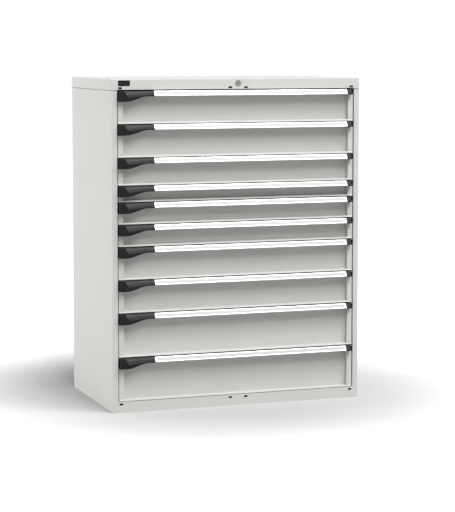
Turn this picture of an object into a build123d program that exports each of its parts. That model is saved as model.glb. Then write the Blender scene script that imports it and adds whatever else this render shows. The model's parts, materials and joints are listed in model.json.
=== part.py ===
"""Drawer cabinet: a folded sheet-steel housing with ten full-extension drawers.

Millimetres, +Z up. The origin is the middle of the footprint, on the floor. The drawers
open towards -Y, and the handles' lips are the foremost points of the cabinet.
"""

from build123d import *
from math import cos, radians
import os

os.makedirs("parts", exist_ok=True)

# Housing
body_width = 1193.0
body_depth = 700.0
base_height = 50.0
cap_height = 50.0
sheet = 1.5                    # all folded steel
fold_radius = 2.0              # outside radius of the folds
frame_width = 25.5             # front face of a side panel, beside the drawers
frame_return = 25.0            # how far that face is folded back along the opening
rear_flange = 20.0
seat_width = 20.0              # flange on which the cap rests
cap_groove = 1.5               # shadow line under the cap
skirt_rise = 4.0               # the cap's front ends this far above the opening
foot_flange = 20.0             # folded under the base
back_fold = 12.0               # edge folds of the back panel
back_play = 1.0                # between the back panel and the side walls
top_radius = 1.8               # rounding of the lid's upper edges

# Slots punched in the front frame, above and below the opening
slot_width = 17.0
slot_height = 8.5
slot_offset = 11.0             # their centres, from the opening
slot_edge = 13.5               # outer slots, from the opening's side
slot_spread = 76.0             # between the two in the middle

# Drawers, from the top: height of each division, in steps
height_step = 25.0
division_steps = [6, 6, 5, 3, 4, 4, 6, 6, 8, 8]
front_gap = 4.5                # between one front and the next
side_gap = 4.0                 # between a front and the frame
front_setback = 4.5            # the end strips lie this far behind the frame
strip_width = 24.0
strip_gap = 2.0                # between a strip's outer flange and the front panel
recess_depth = 24.0
lip_height = 7.0
lip_lean = 2.5
top_fold = 8.0                 # front panel's top edge, folded inwards
wall_drop = 25.0               # the tray's walls are this much lower than the division
hem = 6.0                      # tray walls' top edge, folded inwards
tray_clearance = 18.0          # from the front's edge in to the tray's side wall
tray_depth = 622.0             # from the front panel to the rear wall

# Slides: three nested channels on each side
rail_height = 45.0             # over the fixed rail
rail_centre = 27.0             # above the front's lower edge
rail_play = 0.4                # between nested rails
rail_depth = 14.0              # across the fixed and the middle rail
rail_length = 625.0
rail_start = 19.0              # behind the front panel
rail_step = 4.0                # each rail's web stands this far in from the next

# Uprights that carry the fixed rails
post_width = 40.0
post_lead = 6.5                # the front post starts this far before the rails
rear_post_inset = 30.0         # rear post to back panel

# Handles
handle_reach = 25.0            # lip to the face of the frame
handle_height = 24.0
handle_drop = 1.5              # top of the handle below its division
handle_wall = 2.2
handle_top_reach = 12.5        # top edge of the label face to the face of the frame
handle_nose = 4.5              # upright front of the lip, below the label face
handle_roll = 9.0              # lip, folded back under
label_groove = 0.8             # depth of the label's bed
label_border = 3.0             # of the face above and below the bed
handle_stop = 37.5             # right end of the handle, from the front's right edge
end_cap_width = 28.5
end_cap_rim = 4.0              # full-height wall at its outer end
cap_gap = 0.4                  # between the end cap and the end strip

# Catches
catch_length = 163.0
catch_gap = 1.0                # to the handle
catch_height = 47.0
catch_low_height = 24.0
catch_deep_end = 48.0          # width of its deep left end
catch_rise = 72.0              # over which the lower edge rises
catch_bend = 110.0             # radius of the lower edge's two bends
catch_edge = 1.5               # bevel around its face
catch_reach = 22.5             # face to the face of the frame
catch_wall = 2.5
catch_back_gap = 3.0           # to the front panel
facet_left = (23.0, 40.0)      # left edge of the label facet, from the end, at its top and foot
facet_heights = (28.0, 17.0)   # of the facet at its left and right end
facet_top_reach = 12.5
pivot_radius = 3.0
pivot_play = 0.1
pivot_back = 22.0              # from the front panel forward to the pivot
pivot_drop = 8.0
clip_width = 3.0
clip_wall = 1.7
clip_lip = 0.8                 # the jaw's front edge, before the pivot bar
clip_mouth = 5.2
clip_places = (30.0, 150.0)    # from the catch's left end
pivot_room = 2.2               # between the pivot bar and the front of its hollow
cavity_step = 16.0             # below the top, where the finger hollow deepens
cavity_slope = 14.0            # height of its slanting front wall
cavity_front = (16.0, 5.0)     # wall left before the hollow, at the step and below the slope
heel_relief = (10.0, 4.0)      # cut off the lower back corner, so that the catch can swing
nose_length = 9.0
nose_height = 12.0
nose_drop = 18.0
nose_hook = 3.0

# Lock
lock_drop = 19.0               # below the top
ring_radius = 14.0
ring_height = 3.0
barrel_radius = 11.0
barrel_length = 25.0
nut_thickness = 4.0
plug_radius = 8.0
plug_play = 0.1
plug_sink = 0.6
keyway = (2.0, 8.5)
cam_radius = 11.0
cam_thickness = 3.5
cam_gap = 0.5
crank_radius = 7.07
crank_pin_radius = 2.5
crank_play = 0.4
bar_thickness = 3.0
bar_width = 15.0
bar_play = 0.5                 # to the front post
arm_height = 13.0
arm_end = 6.0                  # beyond the crank slot
bar_inset = 2.5                # from the opening's edge
bar_tail = 20.0                # below the lowest finger
finger_height = 6.0
finger_tip_gap = 5.0           # to the tray's side wall
finger_level = 52.0            # above the front's lower edge
tab_level = 60.0
tab_height = 7.0
tab_reach = 15.0
tab_thickness = 2.0
tab_gap = 6.0                  # behind the fingers
tab_plate = 20.0               # height of the plate that carries the tab

# Planes worked out from these
divisions = [height_step * count for count in division_steps]
height = base_height + sum(divisions) + cap_height
stack_top = height - cap_height
half_width = body_width / 2
frame_y = -(body_depth + handle_reach) / 2 + handle_reach
back_y = frame_y + body_depth
opening_half = half_width - frame_width
front_half = opening_half - side_gap
strip_y = frame_y + front_setback
panel_y = strip_y + recess_depth
tray_half = front_half - tray_clearance
tray_y = panel_y + sheet
tray_back_y = panel_y + tray_depth
inner_half = half_width - sheet
rail_y = panel_y + rail_start
lock_z = height - lock_drop
catch_left = -front_half
catch_right = catch_left + catch_length
handle_start = catch_right + catch_gap
handle_end = front_half - handle_stop
pivot_y = panel_y - pivot_back
front_post_y = rail_y - post_lead
bar_y = front_post_y - bar_play - bar_thickness


def drawer_levels():
    """Lower and upper level of each division, from the top drawer down."""
    levels = []
    upper = stack_top
    for division in divisions:
        levels.append((upper - division, upper))
        upper -= division
    return levels


def parallel(points, distance):
    """The line's points moved sideways, to its left where distance is positive."""
    line = [Vector(*point) for point in points]
    ways = [(end - start).normalized() for start, end in zip(line, line[1:])]
    normals = [Vector(-way.Y, way.X) for way in ways]
    moved = [line[0] + normals[0] * distance]
    for point, before, after in zip(line[1:-1], normals, normals[1:]):
        moved.append(point + (before + after) * (distance / (1 + before.dot(after))))
    return moved + [line[-1] + normals[-1] * distance]


def creased(points, thickness=sheet):
    """Section of a sheet with sharp folds. Its thickness lies left of the line, or right if negative."""
    with BuildLine() as outline:
        Polyline(*points, *reversed(parallel(points, thickness)), close=True)
    make_face(outline.edges())


def folded(points, thickness=sheet, radius=fold_radius):
    """The same with the outside of every fold rounded."""
    inner = parallel(points, thickness)
    with BuildSketch(mode=Mode.PRIVATE) as strip:
        creased(points, thickness)
        for index in range(1, len(points) - 1):
            before, here, after = (Vector(*point) for point in points[index - 1 : index + 2])
            left_turn = (here - before).cross(after - here).Z > 0
            outside = here if left_turn == (thickness > 0) else inner[index]
            fillet(strip.vertices().sort_by_distance(outside)[0], radius)
    add(strip.sketch)


def finish(part, name, level=0.0):
    """Label the part, raised to its level, and write it."""
    piece = part.moved(Location((0, 0, level)))
    piece.label = name
    export_step(piece, f"parts/{name}.step")


def welded(*parts):
    """Several sheets as one piece: they touch, and each keeps its own solids."""
    return Compound([solid for part in parts for solid in part.solids()])


def frame_slots(level):
    """Cut the slots through the front skirt at this level."""
    with BuildSketch(Plane.XZ.offset(-frame_y)) as slots:
        outer = opening_half - slot_edge
        inner = slot_spread / 2
        with Locations(*[(x, level) for x in (-outer, -inner, inner, outer)]):
            Rectangle(slot_width, slot_height)
    extrude(slots.sketch, amount=-4 * sheet, mode=Mode.SUBTRACT)


def make_side_panel(name, side):
    """One folded sheet: front return, front face, wall and rear flange, with the cap's seat."""
    with BuildPart() as panel:
        with BuildSketch(Plane.XY.offset(base_height)):
            folded(
                [
                    (-opening_half, frame_y + frame_return),
                    (-opening_half, frame_y),
                    (-half_width, frame_y),
                    (-half_width, back_y),
                    (-half_width + rear_flange, back_y),
                ],
                thickness=-sheet,
            )
        extrude(amount=stack_top - base_height)
        with BuildSketch(Plane.XY.offset(stack_top)):
            seat_front = rail_y + sheet
            with Locations((-inner_half - sheet / 2, (seat_front + back_y - rear_flange) / 2)):
                Rectangle(
                    seat_width + sheet,
                    back_y - rear_flange - seat_front,
                    align=(Align.MIN, Align.CENTER),
                )
        extrude(amount=-sheet)
        if side > 0:
            mirror(about=Plane.YZ, mode=Mode.REPLACE)
    finish(panel.part, name)


def make_back_panel():
    """Sheet behind the drawers, with its edges folded forwards."""
    back_inner = back_y - sheet
    half = inner_half - back_play
    with BuildPart() as panel:
        with BuildSketch(Plane.XY.offset(base_height)):
            folded(
                [
                    (-half, back_inner - back_fold),
                    (-half, back_inner),
                    (half, back_inner),
                    (half, back_inner - back_fold),
                ],
                thickness=-sheet,
            )
        extrude(amount=stack_top - base_height)
    finish(panel.part, "back_panel")


def make_top_cap():
    """Folded lid on the housing, with the lock's hole and the upper slots in its front."""
    skirt_bottom = stack_top + cap_groove
    middle_y = (frame_y + back_y) / 2
    with BuildPart() as cap:
        with BuildSketch(Plane.XY.offset(skirt_bottom)):
            with Locations((0, middle_y)):
                RectangleRounded(body_width, body_depth, fold_radius)
        extrude(amount=height - skirt_bottom)
        offset(amount=-sheet, openings=cap.faces().sort_by(Axis.Z)[0])
        fillet(cap.faces().sort_by(Axis.Z)[-1].edges(), top_radius)
        # Inner flange that rests on the side panels
        with BuildSketch(Plane.XY.offset(stack_top)):
            with Locations((0, middle_y)):
                Rectangle(body_width - 2 * sheet, body_depth - 2 * sheet)
                Rectangle(
                    body_width - 2 * sheet - 2 * seat_width,
                    body_depth - 2 * sheet - 2 * seat_width,
                    mode=Mode.SUBTRACT,
                )
        extrude(amount=2 * sheet)
        # The front skirt ends higher over the opening, with a fold of its own
        with BuildSketch(Plane.XZ.offset(-frame_y)):
            with Locations((0, stack_top)):
                Rectangle(2 * opening_half, skirt_rise, align=(Align.CENTER, Align.MIN))
        extrude(amount=-seat_width - sheet, mode=Mode.SUBTRACT)
        with BuildSketch(Plane.XZ.offset(-frame_y)):
            with Locations((0, stack_top + skirt_rise)):
                Rectangle(2 * opening_half, sheet, align=(Align.CENTER, Align.MIN))
        extrude(amount=-seat_width)
        # Passages for the lock bar
        with BuildSketch(Plane.XY.offset(stack_top)):
            with Locations((opening_half, bar_y + bar_thickness / 2)):
                Rectangle(seat_width, 4 * bar_thickness, align=(Align.MIN, Align.CENTER))
        extrude(amount=2 * sheet, mode=Mode.SUBTRACT)
        with BuildSketch(Plane.XZ.offset(-frame_y)):
            with Locations((0, lock_z)):
                Circle(barrel_radius + plug_play)
        extrude(amount=-4 * sheet, mode=Mode.SUBTRACT)
        frame_slots(stack_top + slot_offset)
    finish(cap.part, "top_cap")


def make_base_frame():
    """Folded pan under the drawers: floor, skirts and flanges turned in on the ground."""
    middle_y = (frame_y + back_y) / 2
    with BuildPart() as base:
        with BuildSketch(Plane.XY):
            with Locations((0, middle_y)):
                RectangleRounded(body_width, body_depth, fold_radius)
        extrude(amount=base_height)
        offset(amount=-sheet, openings=base.faces().sort_by(Axis.Z)[0])
        with BuildSketch(Plane.XY):
            with Locations((0, middle_y)):
                RectangleRounded(body_width, body_depth, fold_radius)
                Rectangle(
                    body_width - 2 * foot_flange, body_depth - 2 * foot_flange, mode=Mode.SUBTRACT
                )
        extrude(amount=sheet)
        frame_slots(base_height - slot_offset)
    finish(base.part, "base_frame")


def make_posts():
    """Four uprights of hat section between the side panels and the fixed rails."""
    rear_post_y = back_y - sheet - back_fold - rear_post_inset
    with BuildPart() as posts:
        with BuildSketch(Plane.XY.offset(base_height)):
            for near, far in (
                (front_post_y, front_post_y + post_width),
                (rear_post_y - post_width, rear_post_y),
            ):
                creased(
                    [
                        (inner_half, near),
                        (opening_half, near),
                        (opening_half, far),
                        (inner_half, far),
                    ],
                    thickness=-sheet,
                )
        extrude(amount=stack_top - sheet - base_height)
        mirror(about=Plane.YZ)
    finish(posts.part, "runner_posts")


def channel(back_x, way, half_height, level, length=rail_length):
    """A channel rail with its back at back_x, open towards +X where way is 1."""
    tip_x = back_x + way * rail_depth
    with BuildSketch(Plane.XZ.offset(-rail_y)) as section:
        creased(
            [
                (tip_x, level + half_height),
                (back_x, level + half_height),
                (back_x, level - half_height),
                (tip_x, level - half_height),
            ],
            thickness=way * sheet,
        )
    extrude(section.sketch, amount=-length)


def make_fixed_rails():
    """The rails on the uprights, one pair for each drawer."""
    with BuildPart() as rails:
        for lower, _ in drawer_levels():
            level = lower + front_gap / 2 + rail_centre
            channel(opening_half, -1, rail_height / 2, level)
        mirror(about=Plane.YZ)
    finish(rails.part, "fixed_rails")


def make_middle_rails():
    """The pair of telescoping rails of one drawer, around the height of their centre."""
    half_height = rail_height / 2 - sheet - rail_play
    with BuildPart() as rails:
        channel(opening_half - rail_step, -1, half_height, 0.0)
        mirror(about=Plane.YZ)
    return rails.part


def make_box(bottom, wall_top):
    """Floor, rear wall and side walls of a tray, with their upper edges folded inwards."""
    with BuildPart() as floor:
        with BuildSketch(Plane.XY.offset(bottom)):
            with Locations((0, tray_y)):
                Rectangle(2 * tray_half, tray_back_y - tray_y, align=(Align.CENTER, Align.MIN))
        extrude(amount=sheet)
    with BuildPart() as side_walls:
        with BuildSketch(Plane.XZ.offset(-tray_y)):
            creased(
                [(tray_half, bottom + sheet), (tray_half, wall_top), (tray_half - hem, wall_top)]
            )
            mirror(about=Plane.YZ)
        extrude(amount=tray_y - tray_back_y)
    with BuildPart() as rear_wall:
        with BuildSketch(Plane.YZ):
            creased(
                [
                    (tray_back_y, bottom + sheet),
                    (tray_back_y, wall_top),
                    (tray_back_y - hem, wall_top),
                ]
            )
        extrude(amount=tray_half - hem, both=True)
        with BuildSketch(Plane.XZ.offset(-tray_back_y)):
            with Locations((0, bottom + sheet)):
                Rectangle(
                    2 * (tray_half - sheet),
                    wall_top - bottom - 2 * sheet,
                    align=(Align.CENTER, Align.MIN),
                )
        extrude(amount=sheet)
    return welded(floor.part, side_walls.part, rear_wall.part)


def make_front(bottom, top, left_strip_top):
    """Front panel of a drawer, the lip under it and the strips at its ends."""
    ledge = bottom + lip_height
    with BuildPart() as panel:
        with BuildSketch(Plane.YZ):
            creased([(panel_y + top_fold, top), (panel_y, top), (panel_y, ledge)])
        extrude(amount=tray_half, both=True)
    with BuildPart() as lip:
        with BuildSketch(Plane.YZ):
            creased(
                [
                    (tray_y, ledge),
                    (strip_y, ledge),
                    (strip_y - lip_lean, bottom),
                    (tray_y, bottom),
                ]
            )
        extrude(amount=front_half, both=True)
    # The left strip stops below the catch
    with BuildPart() as strips:
        for side, strip_top in ((1, top), (-1, left_strip_top)):
            with BuildSketch(Plane.XY.offset(ledge)):
                creased(
                    [
                        (side * (front_half - strip_width), panel_y),
                        (side * (front_half - strip_width), strip_y),
                        (side * front_half, strip_y),
                        (side * front_half, panel_y - strip_gap),
                    ],
                    thickness=side * sheet,
                )
            extrude(amount=strip_top - ledge)
    return welded(panel.part, lip.part, strips.part)


def make_lock_tab(bottom):
    """Plate on the tray's right wall, with the tab that stands behind the lock bar's finger."""
    tab_y = bar_y + bar_thickness + tab_gap + tab_thickness
    tab_top = bottom + tab_level + tab_height
    with BuildPart() as plate:
        with BuildSketch(Plane.XY.offset(tab_top)):
            with Locations((tray_half, tray_y)):
                Rectangle(tab_thickness, tab_y - tray_y, align=(Align.MIN, Align.MIN))
        extrude(amount=-tab_plate)
    with BuildPart() as tab:
        with BuildSketch(Plane.XY.offset(tab_top)):
            with Locations((tray_half + tab_thickness, tab_y)):
                Rectangle(tab_reach - tab_thickness, tab_thickness, align=(Align.MIN, Align.MAX))
        extrude(amount=-tab_height)
    return welded(plate.part, tab.part)


def make_tray(division):
    """Tray and front of a drawer with its rails, lock tab and clips, from its division's floor."""
    bottom = front_gap / 2
    handle_top = division - handle_drop
    box = make_box(bottom, bottom + division - wall_drop)
    front = make_front(
        bottom, division - front_gap / 2, left_strip_top=handle_top - catch_height - sheet
    )
    half_height = rail_height / 2 - 2 * sheet - 2 * rail_play
    with BuildPart() as rails:
        channel(tray_half, 1, half_height, bottom + rail_centre, tray_back_y - rail_y)
        mirror(about=Plane.YZ)
    # Clips for the catch's pivot bar
    with BuildPart() as clips:
        for place in clip_places:
            with BuildSketch(Plane.YZ.offset(catch_left + place)):
                clip_profile(handle_top)
            extrude(amount=clip_width)
    return welded(box, front, rails.part, make_lock_tab(bottom), clips.part)


def clip_profile(handle_top):
    """Snap clip: an arm from the front panel to a jaw that is open at the front."""
    level = handle_top - pivot_drop
    jaw = pivot_radius + pivot_play + clip_wall
    jaw_front = pivot_y - pivot_radius - clip_lip
    with BuildLine() as arm:
        Polyline(
            (jaw_front, level + jaw),
            (pivot_y + jaw / 2, level + jaw),
            (panel_y, level - clip_wall),
            (panel_y, level - 2 * jaw),
            (pivot_y + jaw / 2, level - jaw),
            (jaw_front, level - jaw),
            close=True,
        )
    make_face(arm.edges())
    seat = 2 * (pivot_radius + pivot_play)
    with Locations((pivot_y, level)):
        Rectangle(seat, seat, mode=Mode.SUBTRACT)
        Rectangle(2 * jaw, clip_mouth, align=(Align.MAX, Align.CENTER), mode=Mode.SUBTRACT)


def handle_points():
    """Outer line of the handle's section, below its top: web, label face and rolled lip."""
    lip_y = frame_y - handle_reach
    return [
        (panel_y, -handle_height),
        (panel_y, 0),
        (frame_y - handle_top_reach, 0),
        (lip_y, handle_nose - handle_height),
        (lip_y, -handle_height),
        (lip_y + handle_roll, -handle_height),
    ]


def make_handle():
    """Extruded profile with a bed for the label in its slanting face."""
    points = handle_points()
    with BuildPart() as handle:
        with BuildSketch(Plane.YZ.offset(handle_start)):
            folded(points, thickness=handle_wall)
            top_edge, lip_edge = Vector(*points[2]), Vector(*points[3])
            down = (lip_edge - top_edge).normalized()
            inward = Vector(-down.Y, down.X)
            bed_start = top_edge + down * label_border
            bed_end = lip_edge - down * label_border
            with BuildLine():
                Polyline(
                    bed_start - inward,
                    bed_end - inward,
                    bed_end + inward * label_groove,
                    bed_start + inward * label_groove,
                    close=True,
                )
            make_face(mode=Mode.SUBTRACT)
        extrude(amount=handle_end - handle_start)
    return handle.part


def make_end_cap():
    """Plastic cap that closes the handle's right end and hides the top of the end strip."""
    points = handle_points()
    with BuildPart() as cap:
        with BuildSketch(Plane.YZ.offset(handle_end)):
            with BuildLine():
                Polyline(
                    (strip_y - cap_gap, -handle_height),
                    (strip_y - cap_gap, 0),
                    *points[2:5],
                    close=True,
                )
            make_face()
        extrude(amount=end_cap_width)
        with BuildSketch(Plane.YZ.offset(handle_end + end_cap_width)):
            with Locations((points[3][0], 0)):
                Rectangle(
                    strip_y - cap_gap - points[3][0],
                    handle_height,
                    align=(Align.MIN, Align.MAX),
                )
        extrude(amount=-end_cap_rim)
        front_edges = cap.edges().filter_by(Axis.X).group_by(Axis.Y)[0]
        fillet(front_edges, fold_radius / 2)
        with BuildSketch(Plane.YZ.offset(handle_end)):
            with BuildLine():
                Polyline(
                    (panel_y, -handle_height),
                    (panel_y, 0),
                    (strip_y - fold_radius, 0),
                    (strip_y - fold_radius, -handle_height),
                    close=True,
                )
            make_face()
        extrude(amount=front_half - strip_width - handle_end - cap_gap)
    return cap.part


def make_catch():
    """Moulded finger catch: deep at its left end, with a slanting facet along its top."""
    top = 0.0
    left, right = catch_left, catch_right
    face = frame_y - catch_reach
    back = panel_y - catch_back_gap
    upper_front = pivot_y - pivot_radius - pivot_room

    # Wedge that leaves the slanting facet
    facet_foot = Vector(left + facet_left[1], face, top - facet_heights[0])
    facet_end = Vector(right, face, top - facet_heights[1])
    facet_top = Vector(right, frame_y - facet_top_reach, top)
    along = facet_end - facet_foot
    slant = Plane(facet_foot, x_dir=along, z_dir=(facet_top - facet_end).cross(along))
    with BuildPart() as wedge:
        with BuildSketch(Plane.XZ.offset(-face + sheet)):
            with BuildLine():
                Polyline(
                    (left + facet_left[0], top + sheet),
                    (left + facet_left[1], top - facet_heights[0]),
                    (right + sheet, top - facet_heights[1]),
                    (right + sheet, top + sheet),
                    close=True,
                )
            make_face()
        extrude(amount=face - sheet - back)
        split(bisect_by=slant, keep=Keep.BOTTOM)

    with BuildPart() as catch:
        # Front outline, its lower edge rising to the right
        with BuildSketch(Plane.XZ.offset(-face)):
            with BuildLine():
                FilletPolyline(
                    (right, top - catch_low_height),
                    (left + catch_deep_end + catch_rise, top - catch_low_height),
                    (left + catch_deep_end, top - catch_height),
                    (left, top - catch_height),
                    radius=catch_bend,
                )
                Polyline((left, top - catch_height), (left, top), (right, top))
                Line((right, top), (right, top - catch_low_height))
            make_face()
        extrude(amount=face - back)
        chamfer(catch.faces().sort_by(Axis.Y)[0].edges(), catch_edge)
        add(wedge.part, mode=Mode.SUBTRACT)
        # Hollow for the clips and, below it, for the fingers
        with BuildSketch(Plane.YZ.offset(left + catch_wall)):
            with BuildLine():
                Polyline(
                    (back, top - catch_wall),
                    (upper_front, top - catch_wall),
                    (upper_front, top - cavity_step),
                    (face + cavity_front[0], top - cavity_step),
                    (face + cavity_front[1], top - cavity_step - cavity_slope),
                    (face + cavity_front[1], top - catch_height),
                    (back, top - catch_height),
                    close=True,
                )
            make_face()
        extrude(amount=right - left - 2 * catch_wall, mode=Mode.SUBTRACT)
        # Relief of the lower back corner
        with BuildSketch(Plane.YZ.offset(left)):
            with BuildLine():
                Polyline(
                    (back, top - catch_height),
                    (back, top - catch_height + heel_relief[1]),
                    (back - heel_relief[0], top - catch_height),
                    close=True,
                )
            make_face()
        extrude(amount=catch_wall, mode=Mode.SUBTRACT)
        # Pivot bar between the end walls
        with BuildSketch(Plane.YZ.offset(left + catch_wall / 2)):
            with Locations((pivot_y, top - pivot_drop)):
                Circle(pivot_radius)
        extrude(amount=right - left - catch_wall)
        # Latch nose behind the left end
        with BuildSketch(Plane.XY.offset(top - nose_drop)):
            with BuildLine():
                Polyline(
                    (left + catch_wall, back - catch_wall),
                    (left + catch_wall, back + nose_length),
                    (left - nose_hook, back + nose_length),
                    (left, back + nose_length / 2),
                    (left, back - catch_wall),
                    close=True,
                )
            make_face()
        extrude(amount=-nose_height)
    return catch.part


def make_lock_housing():
    """Fixed ring and barrel of the lock, with the nut that clamps it to the cap."""
    ring_y = frame_y - ring_height
    with BuildPart() as housing:
        with BuildSketch(Plane.XZ.offset(-ring_y)):
            with Locations((0, lock_z)):
                Circle(ring_radius)
        extrude(amount=-ring_height)
        chamfer(housing.faces().sort_by(Axis.Y)[0].edges(), ring_height / 3)
        with BuildSketch(Plane.XZ.offset(-ring_y)):
            with Locations((0, lock_z)):
                Circle(barrel_radius)
        extrude(amount=-barrel_length)
        with BuildSketch(Plane.XZ.offset(-frame_y - sheet)):
            with Locations((0, lock_z)):
                RegularPolygon(ring_radius, 6)
        extrude(amount=-nut_thickness)
        with BuildSketch(Plane.XZ.offset(-ring_y)):
            with Locations((0, lock_z)):
                Circle(plug_radius + plug_play)
        extrude(amount=-barrel_length, mode=Mode.SUBTRACT)
    finish(housing.part, "lock_housing")


def make_lock_plug():
    """Turning plug with its keyway, and the cam whose crank pin lifts the lock bar."""
    plug_face = frame_y - ring_height + plug_sink
    cam_y = frame_y - ring_height + barrel_length + cam_gap
    crank = crank_radius * cos(radians(45))
    with BuildPart() as plug:
        with BuildSketch(Plane.XZ.offset(-plug_face)):
            with Locations((0, lock_z)):
                Circle(plug_radius)
        extrude(amount=plug_face - cam_y)
        with BuildSketch(Plane.XZ.offset(-plug_face)):
            with Locations((0, lock_z)):
                Rectangle(*keyway)
        extrude(amount=-2 * ring_height, mode=Mode.SUBTRACT)
        with BuildSketch(Plane.XZ.offset(-cam_y)):
            with Locations((0, lock_z)):
                Circle(cam_radius)
        extrude(amount=-cam_thickness)
        with BuildSketch(Plane.XZ.offset(-cam_y)):
            with Locations((crank, lock_z - crank)):
                Circle(crank_pin_radius)
        extrude(amount=cam_y - bar_y - bar_thickness - cam_gap)
    finish(plug.part, "lock_plug")


def make_lock_bar():
    """Flat bar beside the drawers, one finger for each, on an arm that the lock lifts."""
    crank = crank_radius * cos(radians(45))
    slot_start = crank - crank_pin_radius - crank_play
    slot_end = crank_radius + crank_pin_radius + crank_play
    arm_start = slot_start - arm_end
    arm_z = lock_z - crank
    bar_x = opening_half + bar_inset
    finger_x = tray_half + finger_tip_gap
    levels = [lower + front_gap / 2 + finger_level for lower, _ in drawer_levels()]
    bar_foot = min(levels) - bar_tail
    with BuildPart() as arm:
        with BuildSketch(Plane.XZ.offset(-bar_y)):
            with Locations((arm_start, arm_z)):
                Rectangle(bar_x - arm_start, arm_height, align=(Align.MIN, Align.CENTER))
            with Locations(((slot_start + slot_end) / 2, arm_z)):
                Rectangle(
                    slot_end - slot_start,
                    2 * (crank_pin_radius + crank_play),
                    mode=Mode.SUBTRACT,
                )
        extrude(amount=-bar_thickness)
    with BuildPart() as upright:
        with BuildSketch(Plane.XZ.offset(-bar_y)):
            with Locations((bar_x, bar_foot)):
                Rectangle(
                    bar_width, arm_z + arm_height / 2 - bar_foot, align=(Align.MIN, Align.MIN)
                )
        extrude(amount=-bar_thickness)
    with BuildPart() as fingers:
        with BuildSketch(Plane.XZ.offset(-bar_y)):
            with Locations(*[(finger_x, level) for level in levels]):
                Rectangle(bar_x - finger_x, finger_height, align=(Align.MIN, Align.MIN))
        extrude(amount=-bar_thickness)
    finish(welded(arm.part, upright.part, fingers.part), "lock_bar")


def main():
    make_side_panel("left_side_panel", -1)
    make_side_panel("right_side_panel", 1)
    make_back_panel()
    make_top_cap()
    make_base_frame()
    make_posts()
    make_fixed_rails()
    make_lock_housing()
    make_lock_plug()
    make_lock_bar()
    handle = make_handle()
    end_cap = make_end_cap()
    catch = make_catch()
    middle_rails = make_middle_rails()
    trays = {division: make_tray(division) for division in sorted(set(divisions))}
    for number, (lower, upper) in enumerate(drawer_levels(), start=1):
        drawer = f"drawer_{number:02d}"
        handle_top = upper - handle_drop
        finish(trays[upper - lower], f"{drawer}_tray", lower)
        finish(handle, f"{drawer}_handle", handle_top)
        finish(end_cap, f"{drawer}_end_cap", handle_top)
        finish(catch, f"{drawer}_catch", handle_top)
        finish(middle_rails, f"{drawer}_middle_rails", lower + front_gap / 2 + rail_centre)


main()
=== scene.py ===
"""Finish of the drawer cabinet: materials for its CAD pieces, small fittings and the studio."""

import json
import math

import bmesh
import bpy
from mathutils import Matrix, Vector

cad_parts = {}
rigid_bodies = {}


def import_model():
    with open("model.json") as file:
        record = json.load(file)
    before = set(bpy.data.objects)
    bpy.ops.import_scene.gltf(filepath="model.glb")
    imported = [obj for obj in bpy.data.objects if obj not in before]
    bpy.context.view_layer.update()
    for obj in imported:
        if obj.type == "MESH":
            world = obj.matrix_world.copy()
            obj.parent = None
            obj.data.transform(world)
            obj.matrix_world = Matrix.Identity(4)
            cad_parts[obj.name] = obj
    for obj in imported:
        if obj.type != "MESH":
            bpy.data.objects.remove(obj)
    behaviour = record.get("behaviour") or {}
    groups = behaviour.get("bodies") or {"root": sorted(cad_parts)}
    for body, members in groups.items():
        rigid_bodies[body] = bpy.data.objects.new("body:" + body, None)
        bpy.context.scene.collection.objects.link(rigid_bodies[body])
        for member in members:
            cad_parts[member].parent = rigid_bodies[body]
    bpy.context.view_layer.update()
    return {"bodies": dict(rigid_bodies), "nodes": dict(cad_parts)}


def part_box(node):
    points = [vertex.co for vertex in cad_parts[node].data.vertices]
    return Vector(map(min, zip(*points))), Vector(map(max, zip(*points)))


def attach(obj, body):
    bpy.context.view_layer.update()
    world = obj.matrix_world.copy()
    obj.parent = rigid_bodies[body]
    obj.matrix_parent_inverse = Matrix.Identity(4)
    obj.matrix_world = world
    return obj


bl_info = {
    "name": "Drawer cabinet finish",
    "version": (1, 0, 0),
    "blender": (4, 5, 0),
    "location": "3D View > Sidebar > Cabinet",
    "description": "Finishes a folded-steel drawer cabinet and sets it in a plain pale studio",
    "category": "Object",
}

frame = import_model()

# A drawer's body is called drawer_ and two digits, and its pieces' names begin with its own
drawer_prefix = "drawer_"
drawer_name_length = len("drawer_01")
drawer_names = sorted(
    name
    for name in frame["bodies"]
    if name.startswith(drawer_prefix) and len(name) == drawer_name_length
)
first_drawer = drawer_names[0]
handle_low, handle_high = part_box(f"{first_drawer}_handle")
catch_low, catch_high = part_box(f"{first_drawer}_catch")
side_low, side_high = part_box("left_side_panel")
cap_low, cap_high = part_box("top_cap")
base_low, base_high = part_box("base_frame")

# The axis through the thickness of a plate or a strip, and the way that its face looks along it
through_thickness = 1
to_front = -1

# How much of a unit vector lies along an axis at least: for an edge that runs along it, for a
# face that looks roughly along it, and for one that is square to it
edge_along = 0.99
face_towards = 0.9
face_flat = 0.999

# Faces that meet at less than this are shaded smooth
smooth_angle = math.radians(35)

# The catch's left end without its nose, and its facet measured from the upper left corner:
# the left edge at the top and at the foot, the heights at both ends and the depth of its
# slant at the right end
catch_nose = 0.003
catch_left = catch_low.x + catch_nose
catch_length = catch_high.x - catch_left
facet_left_top = 0.023
facet_left_foot = 0.040
facet_left_height = 0.028
facet_right_height = 0.017
facet_depth = 0.010

# The highlight sheet's margin is wider along the facet's slanting left edge, by these factors,
# and its outer face stands before the facet by this share of its thickness. The sheet is a
# lighter copy of the black plastic: a painted highlight for the light that the facet catches
margin_at_left_top = 1.4
margin_at_left_foot = 1.2
highlight_stand_off = 0.75

# The label's and the cover's play in the bed, above and below, and their corners, the depth of
# the cover's face, its distance from the handle's ends and the width of its softened rim
label_play = 0.0004
label_corner = 0.001
cover_play = 0.0001
cover_corner = 0.0006
cover_depth = 0.00005
cover_inset = 0.0008
cover_rim = 0.00015

# The blank plate's rounded rim, the border and the depth of the field inside it, and the area
# that tells its large front face from the narrow ones of the rim
plate_rim = 0.0006
plate_border = 0.0012
plate_step = 0.0003
plate_face_area = 1e-4

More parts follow.
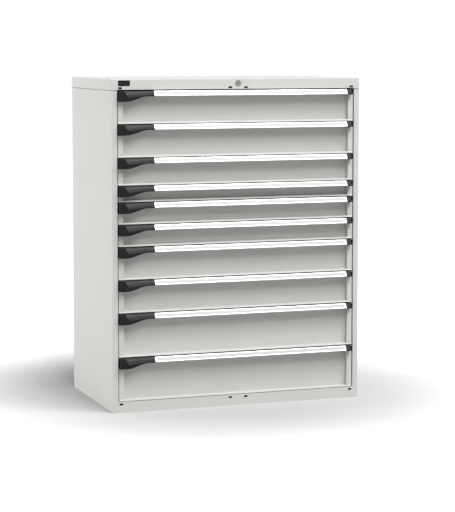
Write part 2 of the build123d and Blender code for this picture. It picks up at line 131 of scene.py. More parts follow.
# Places of the rivets and screws on the sides
rivet_from_edge = 0.045
rivet_from_foot = 0.020
rivet_from_top = 0.035
screw_from_back = 0.075

# Shapes of their heads: a rivet's rounding as a share of its crown, a screw's flat rim and the
# wall of its socket as shares of its radius, and the socket's depth as a share of the crown
head_sides = 24
rivet_rounding = 0.8
socket_rim = 0.45
socket_wall = 0.05
socket_depth = 0.9

# Dark lines in the paint, over the base frame and under the cap: half their width, and the
# height of each with how much darker it is. The faint line over the base frame is the joint's
# own mark; the strong one under the cap is painted shade, for the shadow in the gap there
joint_half_width = 0.0011
joint_mark_and_gap_shade_lines = ((base_high.z, -0.07), (cap_low.z, -0.90))

# The floor, the point of the front that the high lamps look at, and pure white
floor_width = 60.0
front_middle = (0.0, -0.35, 0.8)
white = (1.0, 1.0, 1.0, 1.0)


class CabinetSizes(bpy.types.PropertyGroup):
    """Sizes of the fittings that the scene adds to the cabinet."""

    label_top_reach: bpy.props.FloatProperty(
        name="Label face, top",
        description="How far the top edge of the handle's label face stands before the frame",
        default=0.0125,
        unit="LENGTH",
    )
    handle_nose: bpy.props.FloatProperty(
        name="Handle nose",
        description="Height of the handle's upright front edge, under the label face",
        default=0.0045,
        unit="LENGTH",
    )
    label_border: bpy.props.FloatProperty(
        name="Label border",
        description="Bare metal above and below the label's bed",
        default=0.003,
        unit="LENGTH",
    )
    label_bed: bpy.props.FloatProperty(
        name="Label bed",
        description="Depth of the bed that holds the label and its cover",
        default=0.0008,
        unit="LENGTH",
    )
    label_inset: bpy.props.FloatProperty(
        name="Label inset",
        description="Distance of the label's ends from the handle's ends",
        default=0.0075,
        unit="LENGTH",
    )
    label_thickness: bpy.props.FloatProperty(
        name="Label thickness",
        description="Thickness of the card label",
        default=0.0003,
        unit="LENGTH",
    )
    cover_thickness: bpy.props.FloatProperty(
        name="Cover thickness",
        description="Thickness of the clear strip over the label",
        default=0.0004,
        unit="LENGTH",
    )
    plate_width: bpy.props.FloatProperty(
        name="Plate width",
        description="Width of the blank plate on the cap",
        default=0.055,
        unit="LENGTH",
    )
    plate_height: bpy.props.FloatProperty(
        name="Plate height",
        description="Height of the blank plate on the cap",
        default=0.0245,
        unit="LENGTH",
    )
    plate_thickness: bpy.props.FloatProperty(
        name="Plate thickness",
        description="Thickness of the blank plate on the cap",
        default=0.0016,
        unit="LENGTH",
    )
    plate_corner: bpy.props.FloatProperty(
        name="Plate corner",
        description="Corner radius of the blank plate",
        default=0.004,
        unit="LENGTH",
    )
    plate_left: bpy.props.FloatProperty(
        name="Plate inset",
        description="Distance of the plate's left edge from the cabinet's left side",
        default=0.0300,
        unit="LENGTH",
    )
    plate_drop: bpy.props.FloatProperty(
        name="Plate drop",
        description="Distance of the plate's centre below the cabinet's top",
        default=0.017,
        unit="LENGTH",
    )
    # Sizes of the lighter sheet on the catch's facet, a painted highlight for the light that the
    # slanting facet catches
    highlight_margin: bpy.props.FloatProperty(
        name="Insert margin",
        description="Black rim left around the insert on the catch's facet",
        default=0.0015,
        unit="LENGTH",
    )
    highlight_end_margin: bpy.props.FloatProperty(
        name="Insert end margin",
        description="Black rim left at the right end of the insert",
        default=0.0045,
        unit="LENGTH",
    )
    highlight_sheet_thickness: bpy.props.FloatProperty(
        name="Insert thickness",
        description="Thickness of the insert on the catch's facet, measured straight down",
        default=0.0004,
        unit="LENGTH",
    )
    screw_radius: bpy.props.FloatProperty(
        name="Screw radius",
        description="Radius of the screw heads in the base's sides",
        default=0.0045,
        unit="LENGTH",
    )
    screw_height: bpy.props.FloatProperty(
        name="Screw height",
        description="Height of the screws above the floor",
        default=0.0255,
        unit="LENGTH",
    )
    rivet_radius: bpy.props.FloatProperty(
        name="Rivet radius",
        description="Radius of the painted rivets in the side panels",
        default=0.004,
        unit="LENGTH",
    )
    head_crown: bpy.props.FloatProperty(
        name="Head crown",
        description="How far the heads of the rivets and screws stand out of the sides",
        default=0.0006,
        unit="LENGTH",
    )


class CabinetFinish(bpy.types.PropertyGroup):
    """Colours of the cabinet's finishes, as they are seen in plain light."""

    paint: bpy.props.FloatVectorProperty(
        name="Paint",
        description="Light grey powder coat of the housing and the drawers",
        default=(0.600, 0.592, 0.572),
        subtype="COLOR",
        size=3,
    )
    zinc: bpy.props.FloatVectorProperty(
        name="Zinc",
        description="Plated steel of the slides, the uprights and the lock bar",
        default=(0.56, 0.57, 0.57),
        subtype="COLOR",
        size=3,
    )
    aluminium: bpy.props.FloatVectorProperty(
        name="Aluminium",
        description="Anodised handle profile",
        default=(0.66, 0.66, 0.664),
        subtype="COLOR",
        size=3,
    )
    plastic: bpy.props.FloatVectorProperty(
        name="Black plastic",
        description="Moulded catches, end caps and plate",
        default=(0.008, 0.008, 0.0085),
        subtype="COLOR",
        size=3,
    )
    nickel: bpy.props.FloatVectorProperty(
        name="Nickel",
        description="Plated lock and base screws",
        default=(0.34, 0.34, 0.345),
        subtype="COLOR",
        size=3,
    )
    card: bpy.props.FloatVectorProperty(
        name="Card",
        description="Blank label card",
        default=(0.53, 0.53, 0.533),
        subtype="COLOR",
        size=3,
    )
    # Painted highlight: the black plastic made lighter for the sheet on the catch's slanting facet,
    # which catches the light
    insert: bpy.props.FloatVectorProperty(
        name="Catch insert",
        description="Satin insert on the catch's facet",
        default=(0.031, 0.031, 0.033),
        subtype="COLOR",
        size=3,
    )


class CabinetStudio(bpy.types.PropertyGroup):
    """The studio: camera, lamps and floor."""

    lens: bpy.props.FloatProperty(
        name="Lens",
        description="Focal length, in millimetres on a 36 mm frame",
        default=126.545,
    )
    camera_place: bpy.props.FloatVectorProperty(
        name="Camera place",
        description="Where the camera stands",
        default=(-2.75750, -8.04255, 1.64414),
        unit="LENGTH",
        size=3,
    )
    camera_pan: bpy.props.FloatProperty(
        name="Pan",
        description="How far the camera looks to the right of straight ahead",
        default=math.radians(19.3494),
        unit="ROTATION",
    )
    camera_tilt: bpy.props.FloatProperty(
        name="Tilt",
        description="How far the camera looks down",
        default=math.radians(4.7068),
        unit="ROTATION",
    )
    view_shift: bpy.props.FloatProperty(
        name="Shift",
        description="Upward shift of the view, as a share of the picture's long side",
        default=-0.1191,
    )
    front_power: bpy.props.FloatProperty(
        name="Front lamp",
        description="Power of the soft box high in front",
        default=1395.0,
        unit="POWER",
    )
    right_power: bpy.props.FloatProperty(
        name="Right lamp",
        description="Power of the soft box high before the right corner",
        default=1150.0,
        unit="POWER",
    )
    rear_left_power: bpy.props.FloatProperty(
        name="Rear left lamp",
        description="Power of the soft box low behind the left side",
        default=330.0,
        unit="POWER",
    )
    ambient: bpy.props.FloatProperty(
        name="Ambient",
        description="Strength of the even light from all round",
        default=0.25,
    )
    floor_bounce: bpy.props.FloatProperty(
        name="Floor bounce",
        description="Share of its light that the floor throws back on the cabinet",
        default=0.50,
        subtype="FACTOR",
    )
    floor_tone: bpy.props.FloatProperty(
        name="Floor tone",
        description="Tone of the floor as the camera sees it",
        default=0.56,
        subtype="FACTOR",
    )
    fade_start: bpy.props.FloatProperty(
        name="Fade start",
        description="Distance from the cabinet's middle where the floor begins to fade to white",
        default=0.5,
        unit="LENGTH",
    )
    fade_end: bpy.props.FloatProperty(
        name="Fade end",
        description="Distance from the cabinet's middle where the floor has faded",
        default=2.0,
        unit="LENGTH",
    )
    fade_glow: bpy.props.FloatProperty(
        name="Fade glow",
        description="Light that the faded floor adds to its own tone",
        default=0.9,
        subtype="FACTOR",
    )


def sizes():
    return bpy.context.scene.cabinet_sizes


def finishes():
    return bpy.context.scene.cabinet_finish


def studio():
    return bpy.context.scene.cabinet_studio


class Nodes:
    """The node tree of a material or a world, built a node at a time."""

    def __init__(self, owner, output="ShaderNodeOutputMaterial"):
        owner.use_nodes = True
        self.tree = owner.node_tree
        self.tree.nodes.clear()
        self.output = self.tree.nodes.new(output)

    def add(self, kind, inputs=None, **settings):
        """A new node with its settings, its inputs given as values or as sockets to link."""
        node = self.tree.nodes.new(kind)
        for name, value in settings.items():
            setattr(node, name, value)
        for name, value in (inputs or {}).items():
            if isinstance(value, bpy.types.NodeSocket):
                self.tree.links.new(value, node.inputs[name])
            else:
                node.inputs[name].default_value = value
        return node

    def math(self, operation, *values):
        """The result of a sum on values or sockets."""
        return self.add("ShaderNodeMath", dict(enumerate(values)), operation=operation).outputs[0]

    def mapped(self, value, from_min=0.0, from_max=1.0, to_min=0.0, to_max=1.0, **settings):
        """A value mapped from one range to another."""
        inputs = {
            "Value": value,
            "From Min": from_min,
            "From Max": from_max,
            "To Min": to_min,
            "To Max": to_max,
        }
        return self.add("ShaderNodeMapRange", inputs, **settings).outputs["Result"]

    def bump(self, height, strength, distance, normal=None):
        """Normals that follow the height of a pattern, over softened ones where they are given."""
        inputs = {"Height": height, "Strength": strength, "Distance": distance}
        if normal is not None:
            inputs["Normal"] = normal
        return self.add("ShaderNodeBump", inputs).outputs["Normal"]

    def surface(self, shader):
        self.tree.links.new(shader.outputs[0], self.output.inputs["Surface"])

    def principled(self, inputs):
        self.surface(self.add("ShaderNodeBsdfPrincipled", inputs))


def new_material(name):
    """A new material and its nodes."""
    material = bpy.data.materials.new(name)
    return material, Nodes(material)


def speckle(nodes, scale, detail=3.0, stretch=(1.0, 1.0, 1.0)):
    """Noise in the object's own coordinates, scale being its features to the metre."""
    place = nodes.add("ShaderNodeTexCoord").outputs["Object"]
    mapping = nodes.add("ShaderNodeMapping", {"Vector": place, "Scale": stretch})
    noise = nodes.add(
        "ShaderNodeTexNoise",
        {"Vector": mapping.outputs["Vector"], "Scale": scale, "Detail": detail},
    )
    return noise.outputs["Fac"]


def spread(nodes, value, low, high):
    """The noise's middle range stretched to run from low to high."""
    return nodes.mapped(value, from_min=0.3, from_max=0.7, to_min=low, to_max=high)


def tinted(nodes, colour, value):
    """The colour made lighter or darker by a factor."""
    return nodes.add(
        "ShaderNodeVectorMath",
        {0: tuple(colour), "Scale": value},
        operation="SCALE",
    ).outputs["Vector"]


def edge_softness(nodes, radius):
    """Normals that round the sharp folds and edges."""
    return nodes.add("ShaderNodeBevel", {"Radius": radius}, samples=4).outputs["Normal"]


def edge_mask(nodes, soft_normal):
    """0 on the flats, rising to 1 along the folds and edges."""
    true_normal = nodes.add("ShaderNodeNewGeometry").outputs["True Normal"]
    facing = nodes.add(
        "ShaderNodeVectorMath", {0: soft_normal, 1: true_normal}, operation="DOT_PRODUCT"
    ).outputs["Value"]
    return nodes.mapped(facing, from_min=0.98, from_max=0.80)


def powder_coat(name):
    """Light grey paint with a fine peel, a painted highlight that makes the folds paler, a faint
    dark joint mark over the base frame and painted shade in the gap under the cap.
    """
    material, nodes = new_material(name)
    soft = edge_softness(nodes, radius=0.0009)
    cloud = spread(nodes, speckle(nodes, scale=3.0), low=0.985, high=1.015)
    # Painted highlight: the paint is made paler along the folds and edges, as if they caught the
    # light
    painted_fold_highlight = nodes.math("MULTIPLY", edge_mask(nodes, soft), 0.03)
    tone = nodes.math("ADD", cloud, painted_fold_highlight)
    place = nodes.add("ShaderNodeTexCoord").outputs["Object"]
    height = nodes.add("ShaderNodeSeparateXYZ", {"Vector": place}).outputs["Z"]
    # Painted shade under the cap, where the gap between the cap and the sides lies in shadow; the
    # faint line over the base frame is the joint's mark
    for joint_height, line_darkening in joint_mark_and_gap_shade_lines:
        band = nodes.math("COMPARE", height, joint_height, joint_half_width)
        tone = nodes.math("MULTIPLY_ADD", band, line_darkening, tone)
    peel = speckle(nodes, scale=620.0, detail=2.0)
    nodes.principled(
        {
            "Base Color": tinted(nodes, finishes().paint, tone),
            "Roughness": spread(nodes, speckle(nodes, scale=40.0), low=0.46, high=0.54),
            "Specular IOR Level": 0.4,
            "Normal": nodes.bump(peel, strength=0.22, distance=0.00012, normal=soft),
        }
    )
    return material


def zinc_plate(name):
    """Plated steel with a soft spangle and faint drawing lines along the rails."""
    material, nodes = new_material(name)
    soft = edge_softness(nodes, radius=0.0005)
    spangle = spread(nodes, speckle(nodes, scale=90.0, detail=4.0), low=0.88, high=1.08)
    drawn = speckle(nodes, scale=900.0, detail=2.0, stretch=(1.0, 0.02, 1.0))
    nodes.principled(
        {
            "Base Color": tinted(nodes, finishes().zinc, spangle),
            "Metallic": 0.85,
            "Roughness": spread(nodes, speckle(nodes, scale=60.0), low=0.34, high=0.50),
            "Normal": nodes.bump(drawn, strength=0.12, distance=0.0001, normal=soft),
        }
    )
    return material


def anodised_aluminium(name):
    """Satin aluminium with fine drawing lines along the profile."""
    material, nodes = new_material(name)
    soft = edge_softness(nodes, radius=0.0006)
    drawn = speckle(nodes, scale=1400.0, stretch=(0.006, 1.0, 1.0))
    tone = spread(nodes, drawn, low=0.97, high=1.02)
    nodes.principled(
        {
            "Base Color": tinted(nodes, finishes().aluminium, tone),
            "Metallic": 0.9,
            "Roughness": spread(nodes, drawn, low=0.30, high=0.40),
            "Normal": nodes.bump(drawn, strength=0.10, distance=0.00008, normal=soft),
        }
    )
    return material


def moulded_plastic(name, colour):
    """Moulded plastic with a fine spark-eroded texture and a painted highlight that makes its edges
    paler.
    """
    material, nodes = new_material(name)
    soft = edge_softness(nodes, radius=0.0007)
    cloud = spread(nodes, speckle(nodes, scale=30.0), low=0.92, high=1.10)
    # Painted highlight: the edges are made paler, as if they caught the light
    painted_edge_highlight = nodes.math("MULTIPLY", edge_mask(nodes, soft), 0.5)
    tone = nodes.math("ADD", cloud, painted_edge_highlight)
    texture = speckle(nodes, scale=1500.0, detail=2.0)
    nodes.principled(
        {
            "Base Color": tinted(nodes, colour, tone),
            "Roughness": spread(nodes, speckle(nodes, scale=200.0), low=0.45, high=0.55),
            "Specular IOR Level": 0.20,
            "Normal": nodes.bump(texture, strength=0.30, distance=0.0001, normal=soft),
        }
    )
    return material


def satin_nickel(name):
    """Plated metal with fine marks that run from front to back."""
    material, nodes = new_material(name)
    soft = edge_softness(nodes, radius=0.0004)
    marks = speckle(nodes, scale=1800.0, detail=2.0, stretch=(1.0, 0.1, 1.0))
    tone = spread(nodes, marks, low=0.93, high=1.05)
    nodes.principled(
        {
            "Base Color": tinted(nodes, finishes().nickel, tone),
            "Metallic": 0.9,
            "Roughness": spread(nodes, marks, low=0.32, high=0.42),
            "Normal": nodes.bump(marks, strength=0.10, distance=0.00006, normal=soft),
        }
    )
    return material


def label_card(name):
    """White card with a faint fibre."""
    material, nodes = new_material(name)
    fibre = speckle(nodes, scale=1100.0, detail=4.0)
    tone = spread(nodes, fibre, low=0.985, high=1.01)
    nodes.principled(
        {
            "Base Color": tinted(nodes, finishes().card, tone),
            "Roughness": spread(nodes, fibre, low=0.62, high=0.74),
            "Normal": nodes.bump(fibre, strength=0.08, distance=0.00005),
        }
    )
    return material


def clear_strip(name):
    """Clear plastic strip, a little wavy, that shows the card under it."""
    material, nodes = new_material(name)
    waves = speckle(nodes, scale=30.0, detail=1.0, stretch=(0.3, 1.0, 1.0))
    nodes.principled(
        {
            "Base Color": (0.80, 0.81, 0.81, 1.0),
            "Roughness": spread(nodes, speckle(nodes, scale=90.0), low=0.10, high=0.18),
            "Alpha": 0.16,
            "IOR": 1.49,
            "Normal": nodes.bump(waves, strength=0.1, distance=0.0005),
        }
    )
    return material


def shared_material(name, make, *details):
    """The named material, made the first time that it is asked for."""
    return bpy.data.materials.get(name) or make(name, *details)


def paint():
    return shared_material("light_grey_powder_coat", powder_coat)


def plastic():
    return shared_material("moulded_plastic", moulded_plastic, finishes().plastic)


def nickel():
    return shared_material("satin_nickel", satin_nickel)


def clear_selection():
    if bpy.context.object and bpy.context.object.mode != "OBJECT":
        bpy.ops.object.mode_set(mode="OBJECT")
    bpy.ops.object.select_all(action="DESELECT")


def select_only(piece):
    """Make a piece the active one and the only one selected."""
    clear_selection()
    piece.select_set(True)
    bpy.context.view_layer.objects.active = piece


def settle():
    """Move the place, turn and scale of the selected pieces into their meshes."""
    bpy.ops.object.transform_apply(location=True, rotation=True, scale=True)


def block(centre, size, turn=(0.0, 0.0, 0.0)):
    """A box primitive, the start of a plate or a strip."""
    clear_selection()
    bpy.ops.mesh.primitive_cube_add(size=1.0, location=centre, rotation=turn, scale=size)
    bpy.ops.object.transform_apply(location=False, rotation=False, scale=True)
    return bpy.context.object


def edit_where(kind, test):
    """Enter edit mode with only the edges or faces selected that pass the test."""
    piece = bpy.context.object
    bpy.ops.object.mode_set(mode="EDIT")
    bpy.ops.mesh.select_mode(type=kind)
    bpy.ops.mesh.select_all(action="DESELECT")
    mesh = bmesh.from_edit_mesh(piece.data)
    for part in mesh.edges if kind == "EDGE" else mesh.faces:
        part.select = test(part)
    mesh.select_flush_mode()
    bmesh.update_edit_mesh(piece.data)


def edge_runs_along(axis):
    """A test for edges that run along one of the primitive's own axes."""

    def test(edge):
        way = (edge.verts[0].co - edge.verts[1].co).normalized()
        return abs(way[axis]) > edge_along

    return test


def round_corners(radius, segments):
    """Round the block's edges that run through its thickness."""
    edit_where("EDGE", edge_runs_along(through_thickness))
    bpy.ops.mesh.bevel(offset=radius, segments=segments, affect="EDGES")
    bpy.ops.object.mode_set(mode="OBJECT")


def soften_front(width, segments):
    """Bevel the rim of the block's front face."""
    edit_where("FACE", lambda face: face.normal[through_thickness] * to_front > face_towards)
    bpy.ops.mesh.region_to_loop()
    bpy.ops.mesh.bevel(offset=width, segments=segments, affect="EDGES")
    bpy.ops.object.mode_set(mode="OBJECT")


def finish_piece(piece, name, body, material):
    """Settle a piece's place in its mesh, name it and let it ride on its body."""
    select_only(piece)
    settle()
    bpy.ops.object.shade_smooth_by_angle(angle=smooth_angle)
    piece.name = name
    piece.data.name = name
    piece.data.materials.clear()
    piece.data.materials.append(material)
    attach(piece, body)


def copy_of(piece, place):
    """A copy with its own mesh, placed by a matrix."""
    select_only(piece)
    bpy.ops.object.duplicate(linked=False)
    copy = bpy.context.object
    copy.parent = None
    copy.matrix_world = place
    return copy


def mirrored(piece):
    """A copy of the left side's piece for the right side."""
    copy = copy_of(piece, Matrix.Scale(-1.0, 4, Vector((1.0, 0.0, 0.0))))
    settle()
    outward_normals(copy)
    return copy


def outward_normals(piece):
    """Merge doubles and turn the faces outwards."""
    select_only(piece)
    bpy.ops.object.mode_set(mode="EDIT")
    bpy.ops.mesh.select_all(action="SELECT")
    bpy.ops.mesh.remove_doubles(threshold=1e-6)
    bpy.ops.mesh.normals_make_consistent(inside=False)
    bpy.ops.object.mode_set(mode="OBJECT")


def joined(pieces):
    """Several meshes made one."""
    clear_selection()
    for piece in pieces:
        piece.select_set(True)
    bpy.context.view_layer.objects.active = pieces[0]
    bpy.ops.object.join()
    return bpy.context.object


def on_every_drawer(piece, name, material, carrier=""):
    """Finish the first drawer's piece and give the other drawers a copy each.

    With a carrier, such as _catch, each rides on that body of its drawer.
    """
    finish_piece(piece, f"{first_drawer}_{name}", f"{first_drawer}{carrier}", material)
    for drawer in drawer_names[1:]:
        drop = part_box(f"{drawer}_handle")[1].z - handle_high.z
        copy = copy_of(piece, Matrix.Translation((0.0, 0.0, drop)))
        finish_piece(copy, f"{drawer}_{name}", f"{drawer}{carrier}", material)


def label_face():
    """Top and foot of the handle's label face, and its outward normal, on the first drawer."""
    top = Vector((0.0, side_low.y - sizes().label_top_reach, handle_high.z))
    foot = Vector((0.0, handle_low.y, handle_low.z + sizes().handle_nose))
    down = (foot - top).normalized()
    outward = Vector((0.0, down.z, -down.y))
    return top, foot, outward


def strip_on_label_face(depth, thickness, play, end_gap):
    """A strip in the bed of the label face, its upper side depth below the face."""
    top, foot, outward = label_face()
    centre = (top + foot) / 2 - outward * (depth + thickness / 2)
    centre.x = (handle_low.x + handle_high.x) / 2
    width = (foot - top).length - 2 * (sizes().label_border + play)
    length = handle_high.x - handle_low.x - 2 * end_gap
    tilt = math.atan2(outward.z, -outward.y)
    return block(centre, (length, thickness, width), (-tilt, 0.0, 0.0))


class CabinetOperator:
    """What the cabinet's operators share."""

    bl_options = {"REGISTER", "UNDO"}


class FinishFrame(CabinetOperator, bpy.types.Operator):
    """Give every CAD piece its material"""

    bl_idname = "cabinet.finish_frame"
    bl_label = "CAD pieces"

    def execute(self, context):
        zinc = shared_material("zinc_plate", zinc_plate)
        finish_of = {
            "runner_posts": zinc,
            "fixed_rails": zinc,
            "middle_rails": zinc,
            "lock_bar": zinc,
            "lock_housing": nickel(),
            "lock_plug": nickel(),
            "handle": shared_material("anodised_aluminium", anodised_aluminium),
            "end_cap": plastic(),
            "catch": plastic(),
        }
        for name, node in frame["nodes"].items():
            node.data.materials.clear()
            node.data.materials.append(finish_of.get(kind_of(name), paint()))
        return {"FINISHED"}


def kind_of(name):
    """What a node is, such as handle, without the name of its drawer."""
    if name.startswith(drawer_prefix):
        return name[drawer_name_length + 1 :]
    return name


class AddLabels(CabinetOperator, bpy.types.Operator):
    """Lay a blank card label in the bed of every handle"""

    bl_idname = "cabinet.add_labels"
    bl_label = "Labels"

    def execute(self, context):
        thickness = sizes().label_thickness
        depth = sizes().label_bed - thickness
        strip = strip_on_label_face(depth, thickness, label_play, sizes().label_inset)
        round_corners(label_corner, segments=3)
        card = shared_material("label_card", label_card)
        on_every_drawer(strip, "label", card)
        return {"FINISHED"}


class AddLabelCovers(CabinetOperator, bpy.types.Operator):
    """Cover every label with a clear strip"""

    bl_idname = "cabinet.add_label_covers"
    bl_label = "Label covers"

    def execute(self, context):
        thickness = sizes().cover_thickness
        strip = strip_on_label_face(cover_depth, thickness, cover_play, cover_inset)
        round_corners(cover_corner, segments=2)
        soften_front(cover_rim, segments=2)
        clear = shared_material("clear_strip", clear_strip)
        on_every_drawer(strip, "label_cover", clear)
        return {"FINISHED"}


class AddCatchFacetHighlights(CabinetOperator, bpy.types.Operator):
    """Lay a lighter sheet of the black plastic on the slanting facet of every catch, a painted
    highlight for the light that the facet catches
    """

    bl_idname = "cabinet.add_catch_inserts"
    bl_label = "Catch inserts"

    def execute(self, context):
        edge = sizes().highlight_margin
        right_end = catch_length - sizes().highlight_end_margin
        corners = [
            on_facet(facet_left_top + edge * margin_at_left_top, -edge),
            on_facet(facet_left_foot + edge * margin_at_left_foot, edge - facet_left_height),
            on_facet(right_end, edge - facet_right_height),
            on_facet(right_end, -edge),
        ]
        clear_selection()
        bpy.ops.mesh.primitive_plane_add(size=1.0)
        insert = bpy.context.object
        bpy.ops.object.mode_set(mode="EDIT")
        mesh = bmesh.from_edit_mesh(insert.data)
        around = sorted(mesh.verts, key=lambda vert: math.atan2(vert.co.y, vert.co.x))
        for vert, corner in zip(around, corners):
            vert.co = corner
        bmesh.update_edit_mesh(insert.data)
        bpy.ops.mesh.select_all(action="SELECT")
        bpy.ops.mesh.solidify(thickness=sizes().highlight_sheet_thickness)
        bpy.ops.mesh.normals_make_consistent(inside=False)
        bpy.ops.object.mode_set(mode="OBJECT")
        # The black plastic in a lighter colour, a painted highlight for the light on the facet
        highlight_plastic = shared_material("satin_insert", moulded_plastic, finishes().insert)
        on_every_drawer(insert, "catch_insert", highlight_plastic, carrier="_catch")
        return {"FINISHED"}


def on_facet(along, height):
    """A point before the facet's plane, measured from the catch's upper left corner."""
    foot_slope = (facet_left_height - facet_right_height) / (catch_length - facet_left_foot)
    foot = (along - facet_left_foot) * foot_slope - facet_left_height
    lean = (facet_depth / facet_right_height) * (height - foot)
    outward = sizes().highlight_sheet_thickness * highlight_stand_off
    return Vector(
        (catch_left + along, catch_low.y + lean - outward, handle_high.z + height + outward / 2)
    )


class AddPlate(CabinetOperator, bpy.types.Operator):
    """Set a blank plate on the front of the cap"""

    bl_idname = "cabinet.add_plate"
    bl_label = "Blank plate"

    def execute(self, context):
        width, height = sizes().plate_width, sizes().plate_height
        thickness = sizes().plate_thickness
        centre = (
            cap_low.x + sizes().plate_left + width / 2,
            cap_low.y - thickness / 2,
            cap_high.z - sizes().plate_drop,
        )
        plate = block(centre, (width, thickness, height))
        round_corners(sizes().plate_corner, segments=8)
        soften_front(plate_rim, segments=3)
        # A shallow field inside a raised border
        edit_where("FACE", is_plate_front)
        bpy.ops.mesh.inset(thickness=plate_border)
        bpy.ops.mesh.inset(thickness=plate_step, depth=-plate_step)
        bpy.ops.object.mode_set(mode="OBJECT")
        finish_piece(plate, "blank_plate", "cabinet", plastic())
        return {"FINISHED"}


def is_plate_front(face):
    """Whether a face is the plate's large front one, and not part of its rounded rim."""
    looks_forward = face.normal[through_thickness] * to_front > face_flat
    return looks_forward and face.calc_area() > plate_face_area


class AddSideRivets(CabinetOperator, bpy.types.Operator):
    """Set painted rivet heads in the corners of both side panels"""

    bl_idname = "cabinet.add_side_rivets"
    bl_label = "Side rivets"

    def execute(self, context):
        heads = []
        for y in (side_low.y + rivet_from_edge, side_high.y - rivet_from_edge):
            for z in (side_low.z + rivet_from_foot, side_high.z - rivet_from_top):
                heads.append(rivet_head(Vector((side_low.x, y, z))))
        left = joined(heads)
        right = mirrored(left)
        finish_piece(left, "left_side_rivets", "cabinet", paint())
        finish_piece(right, "right_side_rivets", "cabinet", paint())
        return {"FINISHED"}


class AddBaseScrews(CabinetOperator, bpy.types.Operator):
    """Set a screw in each side of the base, near its rear edge"""

    bl_idname = "cabinet.add_base_screws"
    bl_label = "Base screws"

    def execute(self, context):
        place = Vector((base_low.x, base_high.y - screw_from_back, sizes().screw_height))
        left = screw_head(place)
        right = mirrored(left)
        finish_piece(left, "left_base_screw", "cabinet", nickel())
        finish_piece(right, "right_base_screw", "cabinet", nickel())
        return {"FINISHED"}


def head_blank(place, radius):
    """A low cylinder on the left side, facing -X and sunk in by half, its outer face selected."""
    clear_selection()
    bpy.ops.mesh.primitive_cylinder_add(
        vertices=head_sides,
        radius=radius,
        depth=2 * sizes().head_crown,
        location=place,
        rotation=(0.0, -math.pi / 2, 0.0),
    )
    edit_where("FACE", lambda face: face.normal.z > face_towards)


def finished_head():
    """The head that was in edit mode, with its place settled in its mesh."""
    bpy.ops.object.mode_set(mode="OBJECT")
    settle()
    return bpy.context.object


def rivet_head(place):
    """A low crowned head."""
    head_blank(place, sizes().rivet_radius)
    bpy.ops.mesh.region_to_loop()
    bpy.ops.mesh.bevel(offset=rivet_rounding * sizes().head_crown, segments=3, affect="EDGES")
    return finished_head()


def screw_head(place):
    """A flat head with a round socket."""
    radius = sizes().screw_radius
    head_blank(place, radius)
    bpy.ops.mesh.inset(thickness=radius * socket_rim)
    bpy.ops.mesh.inset(thickness=radius * socket_wall, depth=-sizes().head_crown * socket_depth)
    return finished_head()


class SetStudio(CabinetOperator, bpy.types.Operator):
    """Set up the floor, the lamps, the pale surroundings and the camera"""

    bl_idname = "cabinet.set_studio"
    bl_label = "Studio"

    def execute(self, context):
        add_floor()
        set_world()
        add_lamps()
        add_camera()
        bpy.context.scene.view_settings.view_transform = "Standard"
        return {"FINISHED"}


def add_floor():
    """Pale floor that keeps the cabinet's soft shadow and fades to white away from it."""
    clear_selection()
    bpy.ops.mesh.primitive_plane_add(size=floor_width, location=(0.0, 0.0, 0.0))
    floor = bpy.context.object
    floor.name = "studio_floor"
    material, nodes = new_material("studio_white")
    seen = nodes.add("ShaderNodeLightPath").outputs["Is Camera Ray"]
    shade = nodes.mapped(seen, to_min=studio().floor_bounce, to_max=studio().floor_tone)
    matt = nodes.add("ShaderNodeBsdfDiffuse", {"Color": shade})
    place = nodes.add("ShaderNodeTexCoord").outputs["Object"]
    away = nodes.add("ShaderNodeVectorMath", {0: place}, operation="LENGTH").outputs["Value"]
    fade = nodes.mapped(
        away,
        from_min=studio().fade_start,
        from_max=studio().fade_end,
        to_max=studio().fade_glow,
        interpolation_type="SMOOTHSTEP",
    )
    lift = nodes.math("MULTIPLY", fade, seen)
    glow = nodes.add("ShaderNodeEmission", {"Color": white, "Strength": lift})
    nodes.surface(nodes.add("ShaderNodeAddShader", {0: matt.outputs[0], 1: glow.outputs[0]}))
    floor.data.materials.append(material)


def set_world():
    """Even light from all round, and pure white to the camera, in reflections and through glass."""
    world = bpy.data.worlds.new("studio_surroundings")
    bpy.context.scene.world = world
    nodes = Nodes(world, "ShaderNodeOutputWorld")
    ray = nodes.add("ShaderNodeLightPath").outputs
    seen = nodes.math("MAXIMUM", ray["Is Camera Ray"], ray["Is Glossy Ray"])
    seen = nodes.math("MAXIMUM", seen, ray["Is Transmission Ray"])
    strength = nodes.mapped(seen, to_min=studio().ambient)
    nodes.surface(nodes.add("ShaderNodeBackground", {"Color": white, "Strength": strength}))


def add_soft_box(name, place, target, width, height, power):
    """An oblong area lamp that looks at a point."""
    clear_selection()
    bpy.ops.object.light_add(type="AREA", location=place)
    lamp = bpy.context.object
    lamp.name = name
    lamp.data.name = name
    lamp.data.shape = "RECTANGLE"
    lamp.data.size = width
    lamp.data.size_y = height
    lamp.data.energy = power
    lamp.rotation_mode = "QUATERNION"
    lamp.rotation_quaternion = (Vector(target) - Vector(place)).to_track_quat("-Z", "Y")


def add_lamps():
    """Soft boxes high in front, high before the right corner and low behind the left side."""
    add_soft_box(
        "front_box",
        place=(0.4, -9.35, 11.52),
        target=front_middle,
        width=5,
        height=8,
        power=studio().front_power,
    )
    add_soft_box(
        "right_box",
        place=(4.95, -5.3, 12.92),
        target=front_middle,
        width=5,
        height=5,
        power=studio().right_power,
    )
    add_soft_box(
        "rear_left_box",
        place=(-5.2, 3.0, 0.4),
        target=(-0.6, 0.1, 0.4),
        width=2,
        height=2,
        power=studio().rear_left_power,
    )


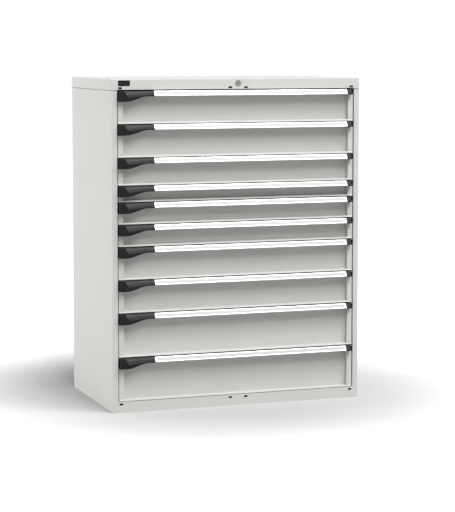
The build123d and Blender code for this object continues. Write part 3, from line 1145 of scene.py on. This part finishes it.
def add_camera():
    """The camera where the photograph was taken from."""
    clear_selection()
    turn = (math.pi / 2 - studio().camera_tilt, 0.0, -studio().camera_pan)
    bpy.ops.object.camera_add(location=studio().camera_place, rotation=turn)
    camera = bpy.context.object
    camera.name = "studio_camera"
    camera.data.sensor_width = 36.0
    camera.data.lens = studio().lens
    camera.data.shift_y = studio().view_shift
    camera.data.clip_end = 200.0
    bpy.context.scene.camera = camera


class CabinetPanel(bpy.types.Panel):
    """The cabinet's operators and settings"""

    bl_label = "Drawer cabinet"
    bl_idname = "VIEW3D_PT_drawer_cabinet"
    bl_space_type = "VIEW_3D"
    bl_region_type = "UI"
    bl_category = "Cabinet"

    def draw(self, context):
        layout = self.layout
        for operator in operators:
            layout.operator(operator.bl_idname)
        for settings in (sizes(), finishes(), studio()):
            box = layout.box()
            for name in settings.__annotations__:
                box.prop(settings, name)


property_groups = (CabinetSizes, CabinetFinish, CabinetStudio)
operators = (
    FinishFrame,
    AddLabels,
    AddLabelCovers,
    AddCatchFacetHighlights,
    AddPlate,
    AddSideRivets,
    AddBaseScrews,
    SetStudio,
)
classes = (*property_groups, *operators, CabinetPanel)


def register():
    for kind in classes:
        bpy.utils.register_class(kind)
    scene = bpy.types.Scene
    scene.cabinet_sizes = bpy.props.PointerProperty(type=CabinetSizes)
    scene.cabinet_finish = bpy.props.PointerProperty(type=CabinetFinish)
    scene.cabinet_studio = bpy.props.PointerProperty(type=CabinetStudio)


def unregister():
    scene = bpy.types.Scene
    del scene.cabinet_studio
    del scene.cabinet_finish
    del scene.cabinet_sizes
    for kind in reversed(classes):
        bpy.utils.unregister_class(kind)


def main():
    register()
    bpy.ops.cabinet.finish_frame()
    bpy.ops.cabinet.add_labels()
    bpy.ops.cabinet.add_label_covers()
    bpy.ops.cabinet.add_catch_inserts()
    bpy.ops.cabinet.add_plate()
    bpy.ops.cabinet.add_side_rivets()
    bpy.ops.cabinet.add_base_screws()
    bpy.ops.cabinet.set_studio()


if __name__ == "__main__":
    main()
